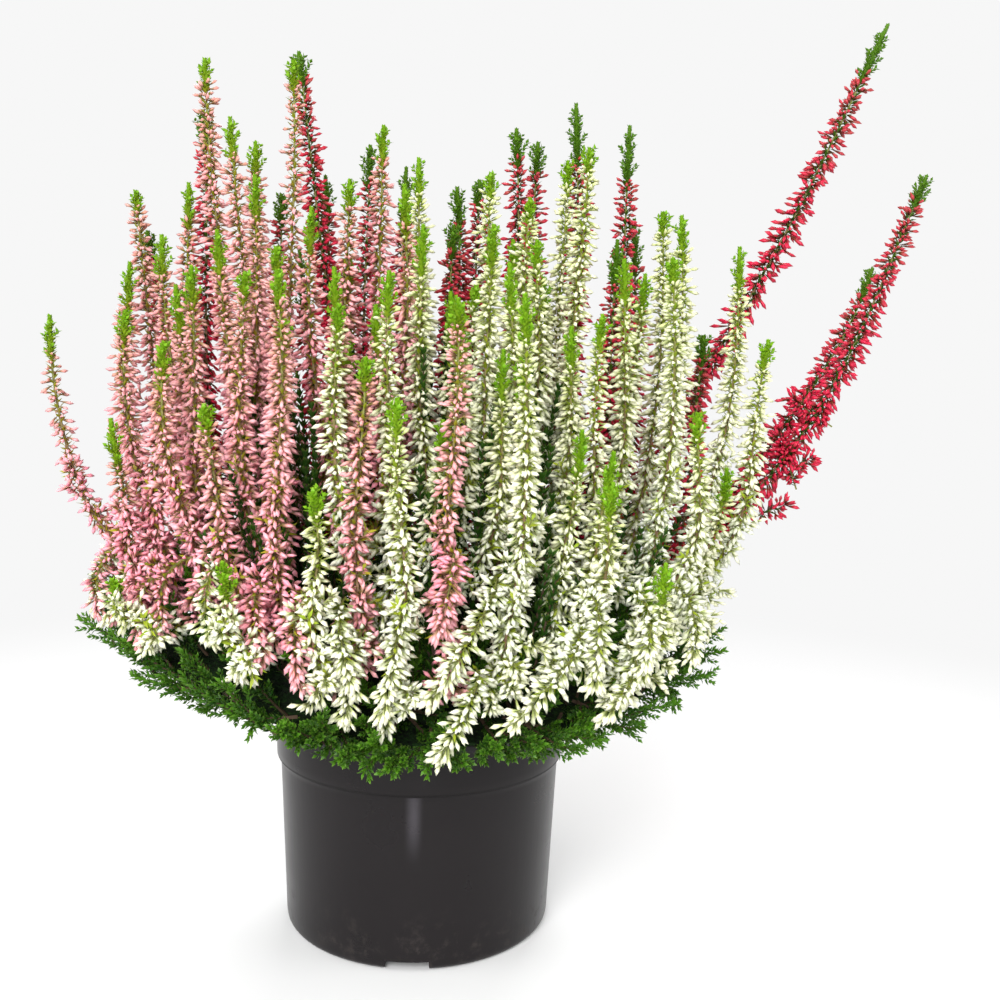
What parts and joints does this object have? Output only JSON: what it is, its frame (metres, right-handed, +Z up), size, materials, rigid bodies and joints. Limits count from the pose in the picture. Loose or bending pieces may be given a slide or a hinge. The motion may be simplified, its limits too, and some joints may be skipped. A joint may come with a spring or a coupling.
{
  "type": "potted heather",
  "caption": "Bud heather in a round plastic nursery pot: upright shoots set with pink, white and red buds over a leafy green skirt.",
  "frame": {"origin": "middle of the pot's base, on the plane that it stands on", "axes": "+Z up; the picture was taken from -Y; the long arched shoots reach towards +X"},
  "size_m": [0.4045, 0.2416, 0.411],
  "materials": {
    "pot": "satin",
    "soil": "matte",
    "foliage": "matte",
    "pink_flowers": "matte",
    "white_flowers": "matte",
    "red_flowers": "matte"
  },
  "bodies": {
    "root": {"pink_plant_foliage": "foliage", "pink_spray_01": "pink_flowers", "pink_spray_02": "pink_flowers", "pink_spray_03": "pink_flowers", "pink_spray_04": "pink_flowers", "pink_spray_05": "pink_flowers", "pink_spray_06": "pink_flowers", "pink_spray_07": "pink_flowers", "pink_spray_08": "pink_flowers", "pink_spray_09": "pink_flowers", "pink_spray_10": "pink_flowers", "pink_spray_11": "pink_flowers", "pink_spray_12": "pink_flowers", "pink_spray_13": "pink_flowers", "pink_spray_14": "pink_flowers", "pink_spray_15": "pink_flowers", "pink_spray_16": "pink_flowers", "pink_spray_17": "pink_flowers", "pot": "pot", "red_plant_foliage": "foliage", "red_spray_01": "red_flowers", "red_spray_02": "red_flowers", "red_spray_03": "red_flowers", "red_spray_04": "red_flowers", "red_spray_05": "red_flowers", "red_spray_06": "red_flowers", "red_spray_07": "red_flowers", "red_spray_08": "red_flowers", "red_spray_09": "red_flowers", "red_spray_10": "red_flowers", "red_spray_11": "red_flowers", "red_spray_12": "red_flowers", "red_spray_13": "red_flowers", "red_spray_14": "red_flowers", "red_spray_15": "red_flowers", "red_spray_16": "red_flowers", "red_spray_17": "red_flowers", "red_spray_18": "red_flowers", "soil": "soil", "white_plant_foliage": "foliage", "white_spray_01": "white_flowers", "white_spray_02": "white_flowers", "white_spray_03": "white_flowers", "white_spray_04": "white_flowers", "white_spray_05": "white_flowers", "white_spray_06": "white_flowers", "white_spray_07": "white_flowers", "white_spray_08": "white_flowers", "white_spray_09": "white_flowers", "white_spray_10": "white_flowers", "white_spray_11": "white_flowers", "white_spray_12": "white_flowers", "white_spray_13": "white_flowers", "white_spray_14": "white_flowers", "white_spray_15": "white_flowers", "white_spray_16": "white_flowers", "white_spray_17": "white_flowers", "white_spray_18": "white_flowers", "white_spray_19": "white_flowers"}
  },
  "joints": []
}
